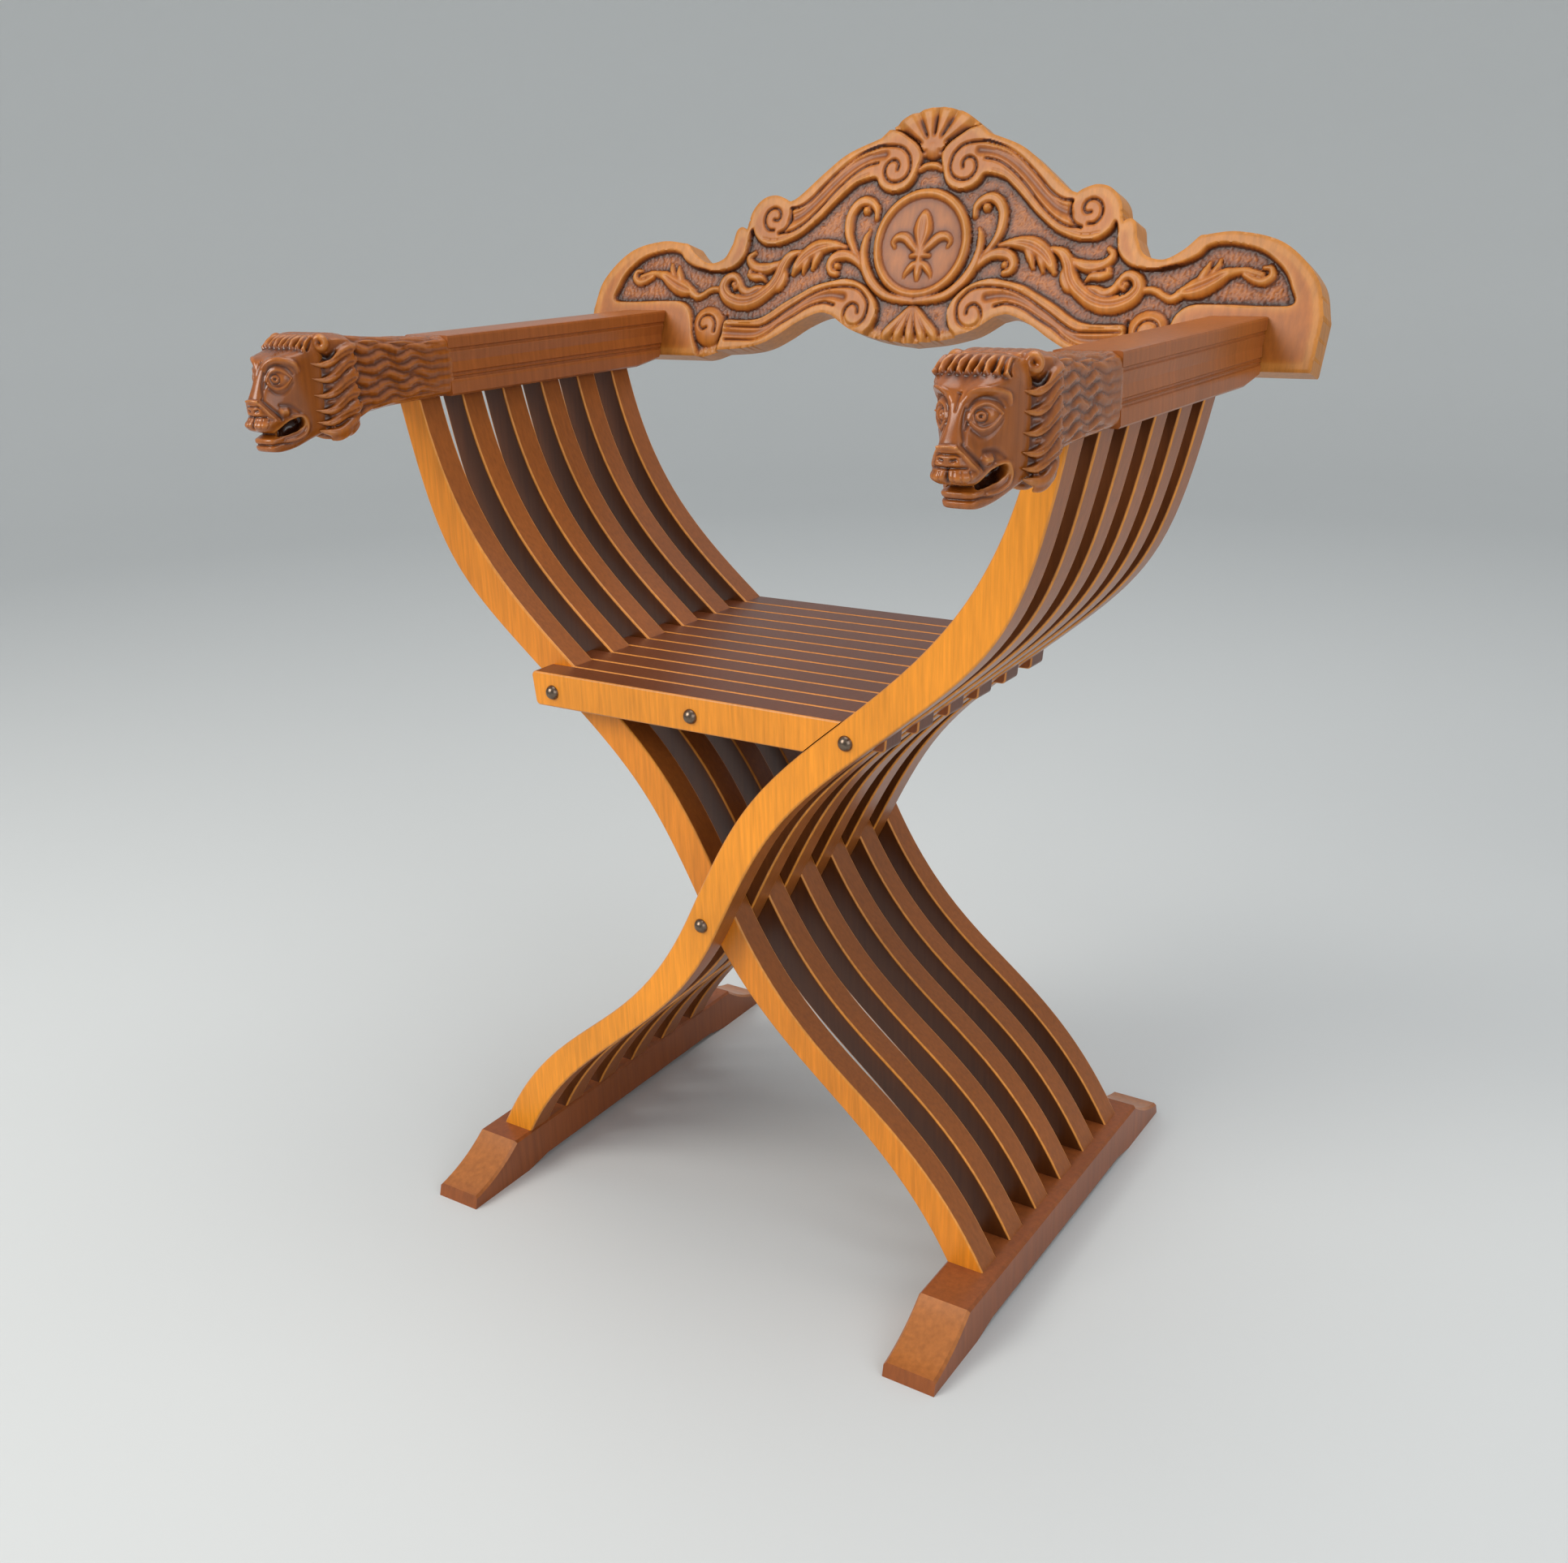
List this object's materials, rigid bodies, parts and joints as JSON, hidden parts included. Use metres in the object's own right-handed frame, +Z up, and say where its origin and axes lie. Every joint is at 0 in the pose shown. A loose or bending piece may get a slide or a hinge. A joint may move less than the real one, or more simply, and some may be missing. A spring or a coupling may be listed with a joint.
{
  "type": "savonarola chair",
  "caption": "Folding X-frame armchair of interleaved S-shaped wooden slats, with a slatted seat, lion-head arms, sled feet and a carved crest rail.",
  "frame": {"origin": "on the floor, midway between the two sled feet and midway from the lions' muzzles to the back of the crest rail", "axes": "+Z up, -Y the way the sitter faces, +X to the right as seen from the front"},
  "size_m": [0.679, 0.5386, 0.8665],
  "materials": {
    "carved_wood": "satin varnish",
    "slat_wood": "satin varnish",
    "seat_wood": "satin varnish, worn on top",
    "rail_wood": "satin varnish over carving",
    "pin_metal": "dull"
  },
  "bodies": {
    "frame_b": {"slat_b_1": "slat_wood", "slat_b_2": "slat_wood", "slat_b_3": "slat_wood", "slat_b_4": "slat_wood", "slat_b_5": "slat_wood", "slat_b_6": "slat_wood", "arm_left": "carved_wood", "sled_right": "carved_wood", "crossing_rod": "pin_metal", "crossing_rod_caps": "pin_metal", "left_seat_rod": "pin_metal", "left_seat_rod_caps": "pin_metal"},
    "frame_a": {"slat_a_1": "slat_wood", "slat_a_2": "slat_wood", "slat_a_3": "slat_wood", "slat_a_4": "slat_wood", "slat_a_5": "slat_wood", "slat_a_6": "slat_wood", "arm_right": "carved_wood", "sled_left": "carved_wood", "right_seat_rod": "pin_metal", "right_seat_rod_caps": "pin_metal"},
    "seat_left": {"seat_left_1": "seat_wood", "seat_left_2": "seat_wood", "seat_left_3": "seat_wood", "seat_left_4": "seat_wood", "seat_left_5": "seat_wood", "seat_left_6": "seat_wood", "middle_rod_left": "pin_metal", "middle_rod_cap_front": "pin_metal"},
    "seat_right": {"seat_right_1": "seat_wood", "seat_right_2": "seat_wood", "seat_right_3": "seat_wood", "seat_right_4": "seat_wood", "seat_right_5": "seat_wood", "seat_right_6": "seat_wood", "middle_rod_right": "pin_metal", "middle_rod_cap_back": "pin_metal"},
    "back": {"crest_rail": "rail_wood"}
  },
  "joints": [
    {"name": "fold", "type": "hinge", "parent": "frame_b", "child": "frame_a", "pos_m": [0, 0.0088, 0.28], "axis": [0, -1, 0], "range_deg": [0, 58]},
    {"name": "seat_left_hinge", "type": "hinge", "parent": "frame_b", "child": "seat_left", "pos_m": [-0.131, 0.0088, 0.447], "axis": [0, -1, 0], "range_deg": [0, 104.2]},
    {"name": "seat_right_hinge", "type": "hinge", "parent": "frame_a", "child": "seat_right", "pos_m": [0.131, 0.0088, 0.447], "axis": [0, -1, 0], "range_deg": [-104.2, 0]},
    {"name": "back_slide", "type": "slide", "parent": "frame_b", "child": "back", "axis": [0, 0.289, 0.9573], "range_m": [0, 0.045]}
  ],
  "couplings": [
    {"joint": "seat_left_hinge", "follows": "fold", "ratio": 1.7954},
    {"joint": "seat_right_hinge", "follows": "fold", "ratio": -1.7954}
  ]
}
